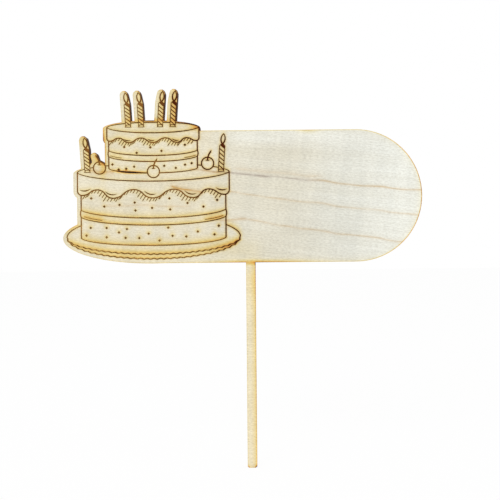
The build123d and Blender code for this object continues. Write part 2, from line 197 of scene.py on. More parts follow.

# %% [markdown]
# ## What the laser did, as numbers on the mesh
# Five numbers are kept at every vertex: the distance to the cut and to the nearest line, how far the
# nearest cut edge looks to the right, the heat and the smoke. Heat sums the lines all around, so it is
# high between close ones such as a candle's stripes. Smoke drifts up the sheet while a level line is
# burnt, so it sums only the lines below a place. That is why the cream and the plate's rim are golden
# and the sponge above each line fades from gold to pale. The heat is stored as line_heat, because the
# renderer keeps the plain word for fire and would find nothing.

# %% Numbers at the vertices
MARKS = ("cut_gap", "line_gap", "right_facing", "line_heat", "smoke")
HEAT_SPREAD = 0.9 * MM
SMOKE_SPREAD = 0.8 * MM  # to the sides of a line
SMOKE_RISE = 1.1 * MM  # over which it thins out above the line
REACH = 3.5 * MM
FAR = 20.0  # mm, where nothing of the laser is felt
BELL = math.sqrt(2 * math.pi)


def heat_and_smoke(spot):
    """What the lines around a place left there: each is 1 at one long level line, which has two edges."""
    heat, smoke = 0.0, 0.0
    for near, index, gap in line_tree.find_range(spot, REACH):
        _, way, length = line_points[index]
        heat += length * math.exp(-((gap / HEAT_SPREAD) ** 2) / 2)
        rise = spot.z - near.z
        if rise > 0:
            aside = (spot.x - near.x) / SMOKE_SPREAD
            smoke += length * abs(way.z) * math.exp(-(aside**2) / 2 - rise / SMOKE_RISE)
    return heat / (2 * HEAT_SPREAD * BELL), smoke / (2 * SMOKE_SPREAD * BELL)


def write_laser_marks(shape):
    """Store the laser's marks at every vertex, as attributes that the materials read."""
    cut_gap, line_gap, right_facing, heat, smoke = (shape.verts.layers.float.new(name) for name in MARKS)
    for vert in shape.verts:
        spot = flattened(vert.co)
        near_cut = cut_tree.find(spot)
        way = cut_points[near_cut[1]][1]
        vert[cut_gap] = min(near_cut[2] / MM, FAR)
        vert[line_gap] = min(line_tree.find(spot)[2] / MM, FAR)
        # 1 where the nearest cut edge looks to the right and 0 where it looks to the left; right-facing
        # edges get more char and stain
        vert[right_facing] = ((1 + way.x) / 2) ** 2
        vert[heat], vert[smoke] = heat_and_smoke(spot)
    hottest = max(vert[heat] for vert in shape.verts)
    print("vertices marked:", len(shape.verts), "hottest:", round(hottest, 2))


write_laser_marks(front)

# %% [markdown]
# ## Arithmetic with nodes
# A material is a tree of nodes, and most of a tree is plain arithmetic. These helpers let it be written
# like arithmetic: sums, products, spans from 0 to 1 and mixed colours. Colours are written as a colour
# picker shows them, from 0 to 255, and turned into the linear values that the renderer works in.

# %% Helpers for arithmetic


def srgb(red, green, blue):
    """A picked colour as linear light."""
    shares = [value / 255 for value in (red, green, blue)]
    light = [s / 12.92 if s <= 0.04045 else ((s + 0.055) / 1.055) ** 2.4 for s in shares]
    return (*light, 1.0)


def feed(tree, socket, value):
    """Link another socket, or set a plain value."""
    if isinstance(value, bpy.types.NodeSocket):
        tree.links.new(value, socket)
    else:
        socket.default_value = value


def add_node(tree, kind, inputs=(), **settings):
    """Add a node, set it up and feed the inputs that are named or numbered."""
    made = tree.nodes.new(kind)
    for name, value in settings.items():
        setattr(made, name, value)
    for key, value in dict(inputs).items():
        feed(tree, made.inputs[key], value)
    return made


def calc(tree, operation, *values):
    """One step of arithmetic."""
    return add_node(tree, "ShaderNodeMath", enumerate(values), operation=operation).outputs[0]


def linear(tree, value, gain, base):
    """A value times a gain, plus a base."""
    return calc(tree, "MULTIPLY_ADD", value, gain, base)


def product(tree, first, *others):
    """All values multiplied."""
    for other in others:
        first = calc(tree, "MULTIPLY", first, other)
    return first


def total(tree, first, *others):
    """All values added."""
    for other in others:
        first = calc(tree, "ADD", first, other)
    return first


def span(tree, value, start, end):
    """0 before start, 1 after end, and an even curve between them."""
    inputs = {"Value": value, "From Min": start, "From Max": end}
    kind = "SMOOTHSTEP"
    return add_node(tree, "ShaderNodeMapRange", inputs, interpolation_type=kind).outputs["Result"]


def fade(tree, gap, length):
    """1 at no distance, falling off over a length."""
    return calc(tree, "EXPONENT", calc(tree, "DIVIDE", gap, -length))


def mix(tree, amount, first, second, mode="MIX"):
    """Mix two colours."""
    inputs = {0: amount, 6: first, 7: second}
    return add_node(tree, "ShaderNodeMix", inputs, data_type="RGBA", blend_type=mode).outputs[2]


print("white in linear light:", srgb(255, 255, 255))

# %% [markdown]
# ## Places, noise and groups
# A finish needs to know where on the piece it is, and what the mesh carries there. Noise that is drawn
# out along X gives everything that runs with the grain. A recipe that several finishes share goes into
# a node group, which puts out colours and masks only. The surface itself stays in each material.

# %% Helpers for places, noise and groups
FLOAT, VECTOR, COLOR = "NodeSocketFloat", "NodeSocketVector", "NodeSocketColor"


def attribute(tree, name):
    """A number that the mesh carries at its vertices."""
    return add_node(tree, "ShaderNodeAttribute", attribute_name=name).outputs["Fac"]


def object_place(tree):
    """Where a point of the piece is, in metres."""
    return add_node(tree, "ShaderNodeTexCoord").outputs["Object"]


def split(tree, place):
    """The X, Y and Z of a place."""
    return add_node(tree, "ShaderNodeSeparateXYZ", {0: place}).outputs


def noise(tree, place, scale, detail, rough):
    """Noise around one half."""
    inputs = {"Vector": place, "Scale": scale, "Detail": detail, "Roughness": rough}
    return add_node(tree, "ShaderNodeTexNoise", inputs).outputs["Fac"]


def stretched_noise(tree, place, length, width, detail, rough):
    """Noise drawn out along X."""
    sizes = (length, width, width)
    drawn = [calc(tree, "DIVIDE", part, size) for part, size in zip(split(tree, place), sizes)]
    joined = add_node(tree, "ShaderNodeCombineXYZ", enumerate(drawn)).outputs[0]
    return noise(tree, joined, 1.0, detail, rough)


def new_group(name, inputs, outputs):
    """An empty node group with named sockets."""
    group = bpy.data.node_groups.new(name, "ShaderNodeTree")
    for label, kind in inputs.items():
        group.interface.new_socket(label, in_out="INPUT", socket_type=kind)
    for label, kind in outputs.items():
        group.interface.new_socket(label, in_out="OUTPUT", socket_type=kind)
    return group, group.nodes.new("NodeGroupInput").outputs, group.nodes.new("NodeGroupOutput").inputs


def use_group(tree, group, inputs):
    """Place a node group in a tree and hand back its outputs."""
    return add_node(tree, "ShaderNodeGroup", inputs, node_tree=group).outputs


def new_material(name):
    """A material with its tree and its surface shader."""
    material = bpy.data.materials.new(name)
    material.use_nodes = True
    return material, material.node_tree, material.node_tree.nodes["Principled BSDF"]


def finish_surface(tree, surface, colour, relief, rough, uneven, bump, depth, shine):
    """Feed a surface: its colour, and a gloss and bumps that follow one relief."""
    feed(tree, surface.inputs["Base Color"], colour)
    feed(tree, surface.inputs["Roughness"], linear(tree, relief, uneven, rough))
    surface.inputs["Specular IOR Level"].default_value = shine
    bumps = {"Height": relief, "Strength": bump, "Distance": depth}
    feed(tree, surface.inputs["Normal"], add_node(tree, "ShaderNodeBump", bumps).outputs[0])


print("marks that the finishes can read:", ", ".join(MARKS))

# %% [markdown]
# ## Wood grain
# Sawn or sliced wood shows its fibres as fine streaks, and its growth rings as broad soft bands. Both
# are noise that is stretched along the grain. A group holds the recipe, because both veneers use it,
# each with its grain turned a little. It puts out fibres, bands and soft clouds, each from 0 to 1.

# %% The grain group
BAND_STRETCH = 14.0  # length of a band over its width
CLOUD_WIDTH = 4.0  # width of a cloud over that of a band
CLOUD_STRETCH = 2.0


def build_grain():
    """Fibres, bands and clouds along X."""
    inputs = {"Vector": VECTOR, "Fibre Length": FLOAT, "Fibre Width": FLOAT, "Band Width": FLOAT}
    group, entry, result = new_group("wood grain", inputs, {"Fibre": FLOAT, "Band": FLOAT, "Cloud": FLOAT})
    place, length, width, band = (entry[label] for label in inputs)
    fibre = stretched_noise(group, place, length, width, detail=3.0, rough=0.6)
    band_length = product(group, band, BAND_STRETCH)
    bands = stretched_noise(group, place, band_length, band, detail=2.0, rough=0.5)
    cloud_width = product(group, band, CLOUD_WIDTH)
    cloud_length = product(group, cloud_width, CLOUD_STRETCH)
    clouds = stretched_noise(group, place, cloud_length, cloud_width, detail=3.0, rough=0.55)
    feed(group, result["Fibre"], span(group, fibre, 0.32, 0.68))
    feed(group, result["Band"], span(group, bands, 0.36, 0.64))
    feed(group, result["Cloud"], span(group, clouds, 0.36, 0.64))
    return group


wood_grain = build_grain()
print("group made:", wood_grain.name)

# %% [markdown]
# ## Scorch
# Heat turns pale wood yellow, then amber, brown and black. The stain darkens the wood without hiding
# its grain, so the group multiplies the wood's colour with a tint, and the tint comes from a ramp over
# the amount of heat. The show faces and the cut walls all run through this one group.

# %% The scorch group
SCORCH_TINTS = (  # amount of heat, and the tint it leaves
    (0.0, (1.0, 1.0, 1.0, 1.0)),
    (0.25, (0.98, 0.88, 0.58, 1.0)),
    (0.4, (0.96, 0.79, 0.38, 1.0)),
    (0.55, (0.95, 0.64, 0.2, 1.0)),
    (0.7, (0.84, 0.42, 0.1, 1.0)),
    (0.85, (0.4, 0.18, 0.05, 1.0)),
    (1.0, (0.1, 0.05, 0.03, 1.0)),
)


def build_scorch():
    """Tint a colour by the heat it had. Heat past 1 stays black."""
    group, entry, result = new_group("laser scorch", {"Color": COLOR, "Amount": FLOAT}, {"Color": COLOR})
    ramp = add_node(group, "ShaderNodeValToRGB", {"Fac": entry["Amount"]})
    stops = ramp.color_ramp.elements
    while len(stops) < len(SCORCH_TINTS):
        stops.new(0.5)
    for stop, (place, tint) in zip(stops, SCORCH_TINTS):
        stop.position = place
        stop.color = tint
    tinted = mix(group, 1.0, entry["Color"], ramp.outputs["Color"], "MULTIPLY")
    feed(group, result["Color"], tinted)
    return group


scorch = build_scorch()
print("group made:", scorch.name, "with", len(SCORCH_TINTS), "tints")

# %% [markdown]
# ## Mineral streaks
# Maple often has a few thin reddish or grey streaks that run with the grain. Each is a sloping line on
# the sheet that wavers a little, thins out at its ends and is soft on both sides. The group turns the
# distance from such a line into a mask, and every streak is one use of it with its own place and slope.

# %% The streak group
WAVER = 3 * MM  # from the lowest to the highest that a streak strays
WAVER_SIZE = (17 * MM, 40 * MM)  # along and across the sheet
PATCH_SIZE = (9 * MM, 1.2 * MM)
STREAK_BEGINS = (0.0, 0.12)  # shares of its length over which it comes and goes
STREAK_ENDS = (1.0, 0.85)


def build_streak():
    """A mask along a wavering line on the sheet."""
    numbers = ("Start X", "Start Z", "Slope", "Length", "Width")
    inputs = {"Vector": VECTOR, **{label: FLOAT for label in numbers}}
    group, entry, result = new_group("mineral streak", inputs, {"Mask": FLOAT})
    place = entry["Vector"]
    x, _, z = split(group, place)
    along = calc(group, "SUBTRACT", x, entry["Start X"])
    level = linear(group, along, entry["Slope"], entry["Start Z"])
    waver = stretched_noise(group, place, *WAVER_SIZE, detail=1.0, rough=0.4)
    waver = calc(group, "SUBTRACT", waver, 0.5)
    off = linear(group, waver, WAVER, calc(group, "SUBTRACT", z, level))
    off = calc(group, "DIVIDE", calc(group, "ABSOLUTE", off), entry["Width"])
    share = calc(group, "DIVIDE", along, entry["Length"])
    begins, ends = span(group, share, *STREAK_BEGINS), span(group, share, *STREAK_ENDS)
    patches = stretched_noise(group, place, *PATCH_SIZE, detail=2.0, rough=0.6)
    patchy = linear(group, span(group, patches, 0.3, 0.65), 0.5, 0.5)
    feed(group, result["Mask"], product(group, fade(group, off, 1.0), begins, ends, patchy))
    return group


mineral_streak = build_streak()
print("group made:", mineral_streak.name)

# %% [markdown]
# ## Hot spots
# Here and there the beam slowed down, at a corner or where a cut began, and left a brown bloom. A spot
# is an oval on the sheet that fades out evenly. This group makes its mask from the oval's middle and reach.

# %% The hot spot group


def build_spot():
    """A mask that is 1 in the middle of an oval on the sheet."""
    inputs = {"Vector": VECTOR, "X": FLOAT, "Z": FLOAT, "Reach X": FLOAT, "Reach Z": FLOAT}
    group, entry, result = new_group("hot spot", inputs, {"Mask": FLOAT})
    x, _, z = split(group, entry["Vector"])
    squares = []
    for part, label in ((x, "X"), (z, "Z")):
        off = calc(group, "DIVIDE", calc(group, "SUBTRACT", part, entry[label]), entry["Reach " + label])
        squares.append(product(group, off, off))
    feed(group, result["Mask"], fade(group, total(group, *squares), 1.0))
    return group


hot_spot = build_spot()
print("group made:", hot_spot.name)

# %% [markdown]
# ## Sanded veneer
# Both faces of the sheet are pale sanded maple. Broad bands come first. Then the light finds the fine
# things: fibres, short pores and curl, which are soft bands across the grain. Each is multiplied onto
# the wood as a light and a dark side, so the wood keeps its tone.

# %% The veneer's wood
PALE = srgb(240, 237, 226)
TAN = srgb(222, 214, 194)
BAND_SHARE = 0.7
VENEER_GRAIN = {"Fibre Length": 16 * MM, "Fibre Width": 0.45 * MM, "Band Width": 5 * MM}
LIGHT_SIDE = (1.06, 1.06, 1.06, 1)
FIBRE_DARK = (0.98, 0.975, 0.965, 1)
PORE_DARK = (0.87, 0.86, 0.85, 1)
CURL_DARK = (0.98, 0.985, 0.99, 1)
PORE_SIZE = (1.3 * MM, 0.5 * MM)  # along and across the grain
CURL_SIZE = (7 * MM, 40 * MM)
SANDED = {"rough": 0.55, "uneven": 0.16, "bump": 0.25, "depth": 0.03 * MM, "shine": 0.25}


def bare_veneer(tree, place, turn):
    """Pale wood with bands, the grain's masks, and the place turned with the grain."""
    turned = add_node(tree, "ShaderNodeMapping", {"Vector": place, "Rotation": (0, turn, 0)}).outputs[0]
    grain = use_group(tree, wood_grain, {"Vector": turned, **VENEER_GRAIN})
    return mix(tree, product(tree, grain["Band"], BAND_SHARE), PALE, TAN), grain, turned


def figured(tree, colour, turned, grain):
    """Add fibres, pores and curl."""
    pores = span(tree, stretched_noise(tree, turned, *PORE_SIZE, detail=2.0, rough=0.7), 0.3, 0.7)
    curl = span(tree, stretched_noise(tree, turned, *CURL_SIZE, detail=2.0, rough=0.5), 0.3, 0.7)
    for mask, dark in ((grain["Fibre"], FIBRE_DARK), (pores, PORE_DARK), (curl, CURL_DARK)):
        colour = mix(tree, 1.0, colour, mix(tree, mask, LIGHT_SIDE, dark), "MULTIPLY")
    return colour


print("pores, mm:", [round(size / MM, 2) for size in PORE_SIZE])

# %% [markdown]
# ## Tones of the face
# The face isn't one colour all over. Around the cake, where smoke has settled, the wood is warm. Along
# the tag it turns greyer, then paler towards the round end, and its upper edge is pale too. The stick
# is yellower than the rest.

# %% Tones along the sheet
CAKE_TONE = srgb(224, 215, 188)
TAG_TONES = (  # tone, and where along X it begins and is reached, mm
    (srgb(219, 215, 197), -26, 0),
    (srgb(223, 224, 214), 12, 44),
    (srgb(239, 241, 233), 40, 66),
)
STICK_TONE = srgb(238, 224, 184)
STICK_FADE = (90 * MM, 78 * MM)  # along Z, from the head down to the stick
EDGE_TONE = srgb(236, 237, 228)
EDGE_FADE = (132 * MM, 139 * MM)  # along Z, up to the tag's upper edge
EDGE_SHARE = 0.75
TAG_FADE = (-20 * MM, 0.0)  # along X, from the cake to the tag
TONE_SHARE = 0.75  # how much of the tone shows in the wood


def on_stick(tree, z):
    """0 on the head and 1 on the stick."""
    return span(tree, z, *STICK_FADE)


def face_tone(tree, x, z):
    """The wood's tone at a place on the sheet."""
    tone = CAKE_TONE
    for tag_tone, begins, reached in TAG_TONES:
        tone = mix(tree, span(tree, x, begins * MM, reached * MM), tone, tag_tone)
    tone = mix(tree, on_stick(tree, z), tone, STICK_TONE)
    along_edge = product(tree, span(tree, x, *TAG_FADE), span(tree, z, *EDGE_FADE), EDGE_SHARE)
    return mix(tree, along_edge, tone, EDGE_TONE)


print("tones of the tag:", len(TAG_TONES))

# %% [markdown]
# ## Streaks and spots of this sheet
# These are the streaks and the spots that this one sheet shows, each with its place in millimetres. The
# long streaks cross the tag and run on over the cake, because both are the same sheet. The soot lies
# along the foot of the upper tier.

# %% Streaks and spots in their places
RUST_TINT = srgb(224, 186, 125)
RUST_STREAKS = (  # start x and z, slope, length, width, strength
    (22, 120.6, -0.1, 68, 0.32, 0.8),
    (-9, 125.7, -0.11, 42, 0.8, 0.3),
    (-20, 116.8, -0.124, 106, 0.36, 0.5),
    (-14, 103.1, 0.1, 13, 0.5, 0.6),
    (-9, 105.2, -0.152, 93, 0.4, 0.55),
    (-34, 118.6, -0.24, 15, 0.55, 1.3),
    (-26, 125.4, -0.11, 15, 0.4, 1.0),
    (-64, 110.6, -0.02, 42, 0.5, 0.4),
    (-68, 125.2, -0.03, 12, 0.7, 0.9),
)
GREY_TINT = srgb(188, 174, 172)
GREY_STREAKS = (
    (-25, 125.3, -0.1, 58, 0.32, 0.75),
    (-12, 123.9, -0.1, 22, 0.3, 0.9),
)
SOOT = (-51, 124.3, 6.5, 1.1, 1.3)  # x and z of the middle, reach across and up, amount
HOT_SPOTS = (
    (4, 86, 18, 1.1, 0.5),
    (-6, 92, 9, 5, 0.1),
    (1.5, 79, 3, 9, 0.14),
    (-1.7, 0.3, 0.5, 0.6, 0.7),
    (1.7, 0.3, 0.6, 0.7, 0.75),
    (24.5, 141.4, 4, 1.3, 0.2),
    (-61.6, 135, 1.3, 9, 0.85),
    (-32.5, 150, 2.5, 9, 0.1),
    (-43, 157, 14, 4, 0.08),
    (-42, 145.9, 9, 1.0, 0.35),
    (-65, 131, 2.2, 3, 0.35),
    (-70.5, 138.5, 2.5, 3.5, 0.25),
    (-22.5, 143.5, 2.5, 2, 0.4),
)


def streak_mask(tree, place, streak):
    """One streak's mask, with its strength."""
    x, z, slope, length, width, strength = streak
    line = {"Vector": place, "Start X": x * MM, "Start Z": z * MM, "Slope": slope}
    sizes = {"Length": length * MM, "Width": width * MM}
    return product(tree, use_group(tree, mineral_streak, {**line, **sizes})["Mask"], strength)


def streaked(tree, place, wood):
    """Add the sheet's streaks to its wood."""
    for tint, streaks in ((RUST_TINT, RUST_STREAKS), (GREY_TINT, GREY_STREAKS)):
        for streak in streaks:
            wood = mix(tree, streak_mask(tree, place, streak), wood, tint, "MULTIPLY")
    return wood


def spot_mask(tree, place, spot):
    """One hot spot's mask, with its amount."""
    x, z, across, up, amount = spot
    sizes = {"X": x * MM, "Z": z * MM, "Reach X": across * MM, "Reach Z": up * MM}
    return product(tree, use_group(tree, hot_spot, {"Vector": place, **sizes})["Mask"], amount)


print("streaks:", len(RUST_STREAKS + GREY_STREAKS), "and hot spots:", len(HOT_SPOTS))

# %% [markdown]
# ## Scorch from the lines
# Two things come from the engraving. Smoke drifts up from level lines and stains the wood golden, most
# of all low on the cake, and in patches. Beside each line runs a thin halo, with a little glow where
# many lines stand close. Towards the right of either tier the beam burnt deepest, and the halo is stronger.

# %% Amounts of scorch from the lines
SMOKE_SCALE = 0.62  # of smoke, over which the stain builds up
DRIFT = 0.2
LOW_DRIFT = 0.3  # added low on the cake
LOW_FADE = (113 * MM, 105 * MM)
HIGH_DRIFT = 0.06  # added on the upper tier and above it
HIGH_FADE = (126 * MM, 130 * MM)
MOST_DRIFT = 0.42
DRIFT_PATCHES = (0.6, 0.7)  # gain and base over the wood's clouds
GLOW = 0.05
GLOW_HEAT = (1.0, 2.4)
HALO = 0.17
DEEP_HALO = 0.15  # added where the beam burnt deepest
HALO_WIDTH = 0.3  # mm
DEEP_SLANT = 0.4  # the upper tier is narrower, so its right lies further left
DEEP_FADE = (18 * MM, 31 * MM)


def burnt_deep(tree, x, z):
    """1 towards the right of either tier, where the beam burnt deepest."""
    return span(tree, linear(tree, z, DEEP_SLANT, x), *DEEP_FADE)


def smoke_drift(tree, z, cloud):
    """The golden stain above the lines."""
    smoky = calc(tree, "SUBTRACT", 1.0, fade(tree, attribute(tree, "smoke"), SMOKE_SCALE))
    patchy = linear(tree, cloud, *DRIFT_PATCHES)
    gathers = linear(tree, span(tree, z, *LOW_FADE), LOW_DRIFT, DRIFT)
    gathers = linear(tree, span(tree, z, *HIGH_FADE), HIGH_DRIFT, gathers)
    return calc(tree, "MINIMUM", product(tree, smoky, patchy, gathers), MOST_DRIFT)


def line_halo(tree, deep):
    """The halo beside the lines, with the glow between close ones."""
    glow = product(tree, span(tree, attribute(tree, "line_heat"), *GLOW_HEAT), GLOW)
    halo = linear(tree, deep, DEEP_HALO, HALO)
    halo = product(tree, fade(tree, attribute(tree, "line_gap"), HALO_WIDTH), halo)
    return total(tree, glow, halo)


print("most that drifting smoke can stain:", MOST_DRIFT)

# %% [markdown]
# ## Scorch from the cut
# The cut leaves a narrow charred rim and a wider stain inside it. Both are darker on edges that look
# to the right, and near hot lines, as on the candles. On the stick, the edge that looks to the right
# has little char and more of the golden stain.

# %% Amounts of scorch from the cut
EDGE_HEAT = (0.1, 0.7)  # of the lines near an edge, from cold to hot
RIM_FADE = (0.5, 0.12)  # mm from the cut
CHAR = 0.18
RIGHT_FACING_CHAR = 0.55
STICK_CHAR = -0.5  # added to the char of right-facing edges on the stick
HOT_CHAR = 0.15
HOT_RIGHT_FACING_CHAR = 0.12
STAIN_WIDTH = 1.0  # mm
RIGHT_FACING_STAIN = 0.14
STICK_STAIN = 0.3  # added to the stain of right-facing edges on the stick
HOT_RIGHT_FACING_STAIN = 0.1


def cut_scorch(tree, z):
    """The charred rim of the cut and the stain inside it."""
    cut_gap, right_facing = attribute(tree, "cut_gap"), attribute(tree, "right_facing")
    stick = on_stick(tree, z)
    hot = span(tree, attribute(tree, "line_heat"), *EDGE_HEAT)
    hot_right_facing = product(tree, hot, right_facing)
    charred = linear(tree, right_facing, linear(tree, stick, STICK_CHAR, RIGHT_FACING_CHAR), CHAR)
    charred = linear(tree, hot, HOT_CHAR, charred)
    charred = linear(tree, hot_right_facing, HOT_RIGHT_FACING_CHAR, charred)
    soaked = product(tree, right_facing, linear(tree, stick, STICK_STAIN, RIGHT_FACING_STAIN))
    soaked = linear(tree, hot_right_facing, HOT_RIGHT_FACING_STAIN, soaked)
    rim = product(tree, span(tree, cut_gap, *RIM_FADE), charred)
    return total(tree, rim, product(tree, fade(tree, cut_gap, STAIN_WIDTH), soaked))


print("char of a cold edge, on the left and in the lee:", CHAR, round(CHAR + RIGHT_FACING_CHAR, 2))

# %% [markdown]
# ## The engraved face
# Now the face can be put together: veneer with its tones and streaks, then one sum of all the scorch.
# Last comes a reddish toast, close beside the deepest lines.

# %% Finish of the engraved face
GRAIN_TURN = math.radians(-6.3)  # the grain drops a little towards the tag's end
SOOT_WIDTH = 0.4  # mm, how close to a line the soot stays
TOAST = srgb(190, 130, 95)
TOAST_WIDTH = 0.2  # mm
TOAST_SHARE = 0.5


def engraved_face():
    """The front veneer's show face."""
    material, tree, surface = new_material("engraved_face")
    place, line_gap = object_place(tree), attribute(tree, "line_gap")
    x, _, z = split(tree, place)
    wood, grain, turned = bare_veneer(tree, place, GRAIN_TURN)
    wood = mix(tree, TONE_SHARE, wood, face_tone(tree, x, z))
    wood = streaked(tree, place, figured(tree, wood, turned, grain))
    deep = burnt_deep(tree, x, z)
    soot = product(tree, spot_mask(tree, place, SOOT), fade(tree, line_gap, SOOT_WIDTH))
    amounts = [soot, smoke_drift(tree, z, grain["Cloud"]), line_halo(tree, deep), cut_scorch(tree, z)]
    amounts += [spot_mask(tree, place, spot) for spot in HOT_SPOTS]
    colour = use_group(tree, scorch, {"Color": wood, "Amount": total(tree, *amounts)})["Color"]
    toasted = product(tree, fade(tree, line_gap, TOAST_WIDTH), deep, TOAST_SHARE)
    colour = mix(tree, toasted, colour, TOAST, "MULTIPLY")
    finish_surface(tree, surface, colour, grain["Fibre"], **SANDED)
    return material


face_finish = engraved_face()
print("finish made:", face_finish.name, "with", len(face_finish.node_tree.nodes), "nodes")

# %% [markdown]
# ## The engraved lines
# A laser engraves in passes, one thin row above the other, so the floor of a line is faintly ribbed and
# its brown comes and goes. It is darker where much was burnt close together, in dots where the beam
# stood still, and towards the right of either tier, where it burnt deepest. Low on the cake it is paler.

# %% Finish of the engraved lines
LINE_PALE = srgb(206, 160, 92)
LINE_BROWN = srgb(168, 116, 52)
LINE_DARK = srgb(102, 62, 22)
LINE_RED = srgb(78, 24, 0)
SOOT_BLACK = srgb(38, 28, 24)
PALE_FADE = (112 * MM, 104 * MM)  # along Z, down to the plate
CLOSE_HEAT = (0.7, 2.4)  # among close lines
DOT_HEAT = (0.85, 0.65)  # of a lone dot, which has less edge around it than a line
BURNT = 0.15
DWELL_BURNT = 0.2  # added among close lines and in dots
DARK_SHARE = 0.6  # of dark in the darkest brown
RIB_SHARE = 0.35
PASS_SIZE = (3 * MM, 0.12 * MM)  # along and across the passes
BLOTCH_SIZE = (4 * MM, 3 * MM)
RIBBED = {"rough": 0.65, "uneven": 0.2, "bump": 0.4, "depth": 0.04 * MM, "shine": 0.05}


def line_brown(tree, place, passes):
    """The brown of a line at a place on the sheet."""
    x, _, z = split(tree, place)
    heat = attribute(tree, "line_heat")
    dwell = total(tree, span(tree, heat, *CLOSE_HEAT), span(tree, heat, *DOT_HEAT))
    blotch = span(tree, stretched_noise(tree, place, *BLOTCH_SIZE, detail=2.0, rough=0.5), 0.35, 0.7)
    dark = total(tree, linear(tree, dwell, DWELL_BURNT, BURNT), blotch)
    pale = mix(tree, span(tree, z, *PALE_FADE), LINE_BROWN, LINE_PALE)
    brown = mix(tree, dark, pale, mix(tree, DARK_SHARE, pale, LINE_DARK))
    brown = mix(tree, burnt_deep(tree, x, z), brown, LINE_RED)
    return mix(tree, product(tree, span(tree, passes, 0.4, 0.65), RIB_SHARE), brown, LINE_DARK)


def engraved_line():
    """Floors and walls of the engraved lines."""
    material, tree, surface = new_material("engraved_line")
    place = object_place(tree)
    passes = stretched_noise(tree, place, *PASS_SIZE, detail=2.0, rough=0.5)
    brown = line_brown(tree, place, passes)
    sooty = mix(tree, spot_mask(tree, place, SOOT), brown, SOOT_BLACK)
    finish_surface(tree, surface, sooty, passes, **RIBBED)
    return material


line_finish = engraved_line()
print("finish made:", line_finish.name)

# %% [markdown]
# ## The burnt cut
# Where the beam went through, the wall is amber to black-brown, and fine striations run from face to
# face. It is darkest near hot lines, above all on walls that look to the right. All layers burn in this
# way, so one group makes the burn.

# %% The kerf group
STRIATION = 0.35 * MM
STRIATION_LENGTH = 4 * MM
PATCH_SCALE = 160.0  # patches to the metre
WALL_HEAT = (0.05, 0.5)
HOT_BURN = 0.15
HOT_RIGHT_FACING_BURN = 0.45
PATCH_BURN = 0.12
STRIATION_BURN = 0.1


def build_kerf():
    """Colour and relief of a cut wall, by its base colour, the heat around it and the way it looks."""
    inputs = {"Color": COLOR, "Vector": VECTOR, "Heat": FLOAT, "Right Facing": FLOAT, "Burn": FLOAT}
    group, entry, result = new_group("burnt kerf", inputs, {"Color": COLOR, "Relief": FLOAT})
    sizes = (STRIATION, STRIATION_LENGTH, STRIATION)
    drawn = [calc(group, "DIVIDE", part, size) for part, size in zip(split(group, entry["Vector"]), sizes)]
    joined = add_node(group, "ShaderNodeCombineXYZ", enumerate(drawn)).outputs[0]
    striations = span(group, noise(group, joined, 1.0, detail=3.0, rough=0.6), 0.3, 0.7)
    patches = noise(group, entry["Vector"], PATCH_SCALE, detail=2.0, rough=0.5)
    hot_burn = linear(group, entry["Right Facing"], HOT_RIGHT_FACING_BURN, HOT_BURN)
    amount = linear(group, span(group, entry["Heat"], *WALL_HEAT), hot_burn, entry["Burn"])
    amount = linear(group, span(group, patches, 0.35, 0.65), PATCH_BURN, amount)
    amount = linear(group, striations, STRIATION_BURN, amount)
    burnt = use_group(group, scorch, {"Color": entry["Color"], "Amount": amount})
    feed(group, result["Color"], burnt["Color"])
    feed(group, result["Relief"], striations)
    return group


burnt_kerf = build_kerf()
print("group made:", burnt_kerf.name)

# %% [markdown]
# ## Walls of the layers
# The layers burn alike but not equally. A glue film chars to a dark hairline between the plies, and
# the core is a shade darker than the veneers. So each kind of layer has its base colour and its burn.

# %% Finishes of the cut walls
CUT_WALLS = {  # base colour and burn
    "veneer_cut": (srgb(232, 222, 196), 0.52),
    "core_cut": (srgb(214, 186, 146), 0.55),
    "glue_cut": (srgb(150, 110, 70), 0.72),
}
STRIATED = {"rough": 0.55, "uneven": 0.2, "bump": 0.5, "depth": 0.05 * MM, "shine": 0.25}


def cut_wall(name, base, burn):
    """The burnt wall of one kind of layer."""
    material, tree, surface = new_material(name)
    marks = {"Heat": attribute(tree, "line_heat"), "Right Facing": attribute(tree, "right_facing")}
    kerf = use_group(tree, burnt_kerf, {"Color": base, "Vector": object_place(tree), "Burn": burn, **marks})
    finish_surface(tree, surface, kerf["Color"], kerf["Relief"], **STRIATED)
    return material


cut_finishes = {name: cut_wall(name, base, burn) for name, (base, burn) in CUT_WALLS.items()}
print("finishes made:", ", ".join(cut_finishes))

# %% [markdown]
# ## The plain back
# The back veneer has no drawing. It lay on the laser's bed, where smoke gathers, so a broad golden haze
# follows the cut there.

# %% Finish of the plain back
BACK_TURN = math.radians(2.5)
BACK_RIM = 0.5
BACK_RIM_WIDTH = 0.3  # mm
HAZE = 0.45
HAZE_WIDTH = 2.8  # mm
HAZE_PATCHES = (0.8, 0.4)  # gain and base over the wood's clouds


def plain_back():
    """The back veneer's show face."""
    material, tree, surface = new_material("plain_back")
    wood, grain, turned = bare_veneer(tree, object_place(tree), BACK_TURN)
    wood = figured(tree, wood, turned, grain)
    cut_gap = attribute(tree, "cut_gap")
    rim = product(tree, fade(tree, cut_gap, BACK_RIM_WIDTH), BACK_RIM)
    patchy = linear(tree, grain["Cloud"], *HAZE_PATCHES)
    haze = product(tree, fade(tree, cut_gap, HAZE_WIDTH), patchy, HAZE)
    colour = use_group(tree, scorch, {"Color": wood, "Amount": total(tree, rim, haze)})["Color"]
    finish_surface(tree, surface, colour, grain["Fibre"], **SANDED)
    return material


back_finish = plain_back()
print("finish made:", back_finish.name)

# %% [markdown]
# ## Put the layers in place
# Each copy becomes an object at the origin, because its place is already in its mesh. It rides on the
# topper's one body and stands for the CAD layer that it was copied from. Curved walls are shaded smooth
# and every real corner stays sharp. The inner layers show only their walls, so their grid is coarser.

